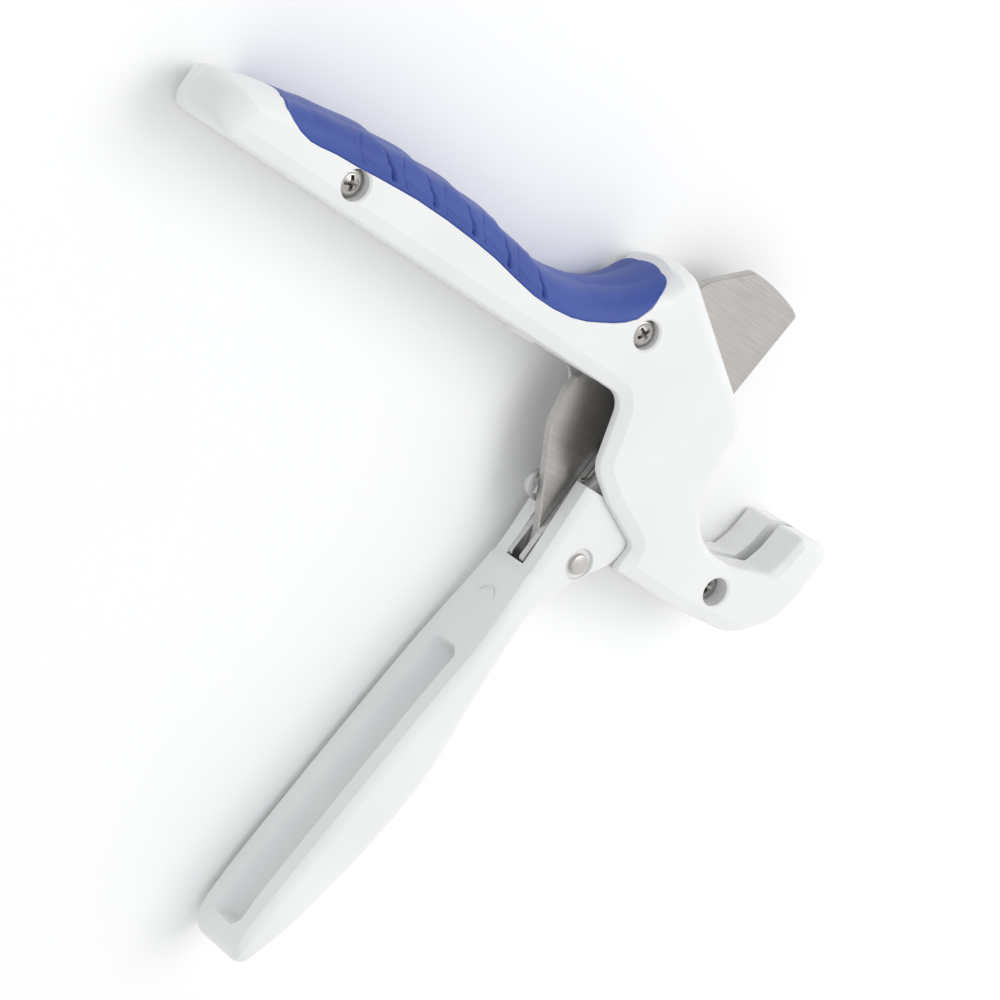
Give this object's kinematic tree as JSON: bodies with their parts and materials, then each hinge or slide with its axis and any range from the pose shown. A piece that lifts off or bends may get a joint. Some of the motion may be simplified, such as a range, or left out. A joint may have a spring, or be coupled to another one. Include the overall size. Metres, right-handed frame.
{
  "type": "plastic pipe cutter",
  "caption": "Hand-held single-stroke plastic pipe cutter, open, with a hooked jaw, a wide swinging blade, a sprung lever and a soft grip inlay.",
  "frame": {"origin": "on the back face, on the axis of the main pivot", "axes": "+X along the upper handle towards the jaw, +Y across it on the grip inlay's side, +Z from the back face to the front face"},
  "size_m": [0.2066, 0.1804, 0.021],
  "materials": {
    "white_coat": "satin powder coat",
    "blue_grip": "matte soft grip",
    "blade_steel": "brushed",
    "plate_steel": "satin",
    "dark_steel": "oiled",
    "pin_steel": "satin",
    "bronze": "satin",
    "spring_wire": "bright",
    "bumper_plastic": "matte",
    "screw_nickel": "bright"
  },
  "bodies": {
    "body": {"body_back_half": "white_coat", "body_front_half": "white_coat", "grip_inlay": "blue_grip", "pivot_pin": "dark_steel", "return_spring": "spring_wire", "spring_post": "dark_steel", "opening_stop_pin": "dark_steel", "closing_bumper": "bumper_plastic", "handle_dowel": "dark_steel", "hook_dowel": "dark_steel", "handle_screw": "screw_nickel", "shoulder_screw": "screw_nickel", "hook_screw": "screw_nickel"},
    "lever": {"lever_handle": "white_coat", "blade": "blade_steel", "carrier_plate_back": "plate_steel", "carrier_plate_front": "plate_steel", "blade_pin": "pin_steel", "blade_pin_ring": "dark_steel", "thrust_washer_back": "bronze", "thrust_washer_front": "bronze"}
  },
  "joints": [
    {"name": "lever_pivot", "type": "hinge", "parent": "body", "child": "lever", "pos_m": [0, 0, 0.0105], "axis": [0, 0, -1], "range_deg": [0, 80], "stiffness_Nm_per_rad": 0.08, "deforming": ["return_spring"]}
  ]
}
